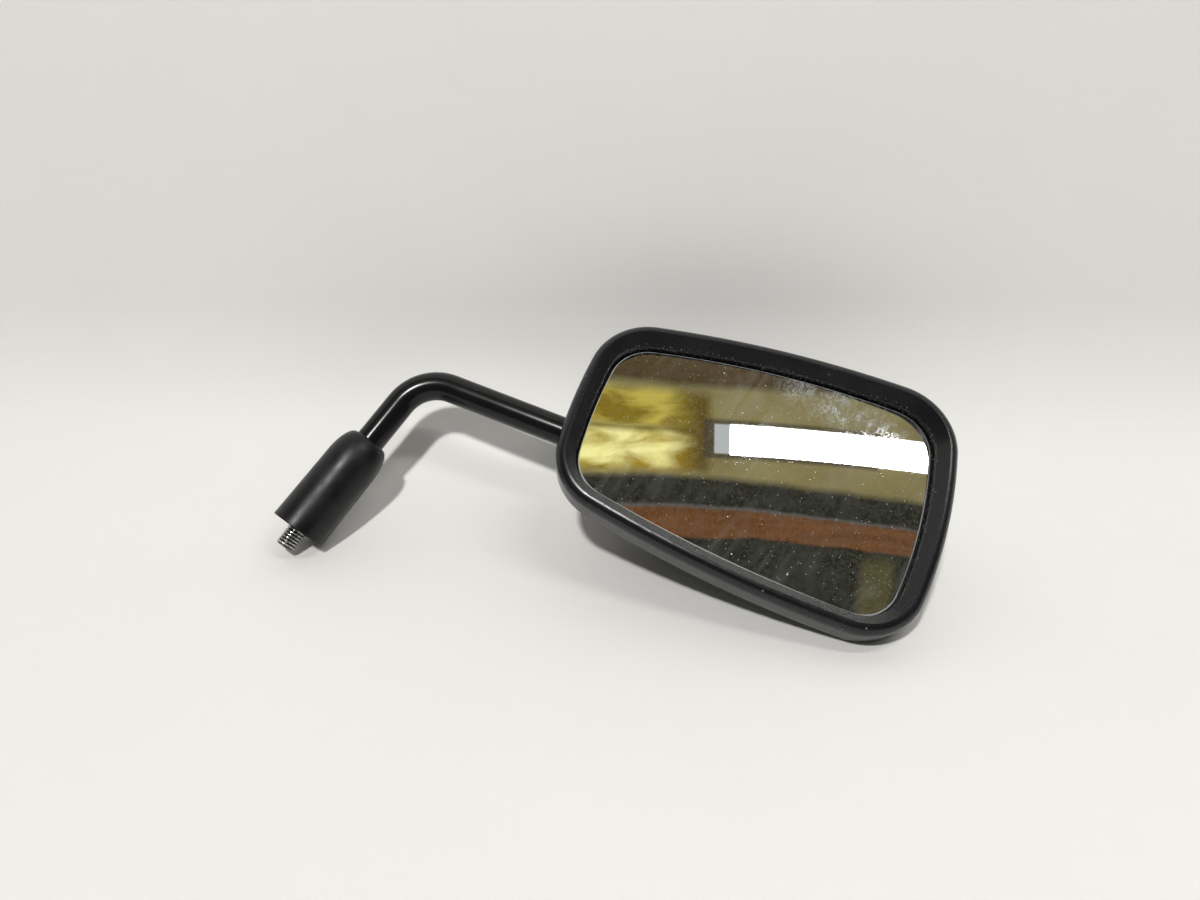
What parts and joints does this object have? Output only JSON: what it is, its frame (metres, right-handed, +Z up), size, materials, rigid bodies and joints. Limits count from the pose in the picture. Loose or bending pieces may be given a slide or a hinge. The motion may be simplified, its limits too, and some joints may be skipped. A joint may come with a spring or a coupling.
{
  "type": "scooter mirror",
  "caption": "Handlebar rear-view mirror: convex trapezoid glass in a deep black housing, on a ball-ended bent stem with a rubber boot and a threaded stud.",
  "frame": {"origin": "on the stud axis at the adapter's seat, where it bears on the handlebar perch", "axes": "+Z up the lower stem, +X outboard along the head, glass looks along -Y towards the rider"},
  "size_m": [0.2186, 0.0506, 0.1813],
  "materials": {
    "zinc_plate": "bright zinc plating on cut threads",
    "boot_rubber": "matt moulded rubber",
    "stem_paint": "gloss black paint",
    "bright_steel": "ground and plated",
    "nylon": "natural nylon",
    "die_cast": "as cast",
    "pressed_steel": "zinc passivated",
    "screw_steel": "zinc plated",
    "shell_plastic": "semi-gloss moulded",
    "rim_plastic": "satin moulded",
    "grommet_rubber": "matt",
    "seal_rubber": "matt",
    "carrier_plastic": "matt moulded",
    "foam": "closed-cell foam",
    "mirror_silver": "polished convex glass, silvered on the back"
  },
  "bodies": {
    "adapter": {"stud_adapter": "zinc_plate", "lock_washer": "zinc_plate"},
    "stem": {"stem_rod": "stem_paint", "stem_ball": "bright_steel"},
    "lock_nut": {"lock_nut": "zinc_plate"},
    "boot": {"rubber_boot": "boot_rubber"},
    "rear_liner": {"rear_ball_liner": "nylon"},
    "front_liner": {"front_ball_liner": "nylon"},
    "head": {"rear_shell": "shell_plastic", "bezel_rim": "rim_plastic", "mirror_glass": "mirror_silver", "glass_seal": "seal_rubber", "foam_pad": "foam", "carrier_plate": "carrier_plastic", "carrier_screws": "screw_steel", "socket_base": "die_cast", "base_screws": "screw_steel", "clamp_plate": "pressed_steel", "clamp_spring_washers": "screw_steel", "clamp_screws": "screw_steel", "neck_grommet": "grommet_rubber"}
  },
  "joints": [
    {"name": "stem_swivel", "type": "hinge", "parent": "adapter", "child": "stem", "pos_m": [0, 0, 0.02], "axis": [0, 0, 1], "range_deg": [-60, 60]},
    {"name": "lock_nut_turn", "type": "hinge", "parent": "stem", "child": "lock_nut", "pos_m": [0, 0, 0.0187], "axis": [0, 0, 1], "range_deg": [0, 90]},
    {"name": "boot_slide", "type": "slide", "parent": "stem", "child": "boot", "axis": [0, 0, 1], "range_m": [0, 0.018]},
    {"name": "head_tilt", "type": "hinge", "parent": "stem", "child": "rear_liner", "pos_m": [0.08924, 0, 0.09002], "axis": [0.9796, 0, 0.2011], "continuous": true},
    {"name": "head_roll", "type": "hinge", "parent": "rear_liner", "child": "front_liner", "pos_m": [0.08924, 0, 0.09002], "axis": [0.027, -0.996, 0.0856], "range_deg": [-12, 12]},
    {"name": "head_pan", "type": "hinge", "parent": "front_liner", "child": "head", "pos_m": [0.08924, 0, 0.09002], "axis": [-0.2005, 0.0785, 0.9766], "range_deg": [-11.5, 7.5]}
  ]
}
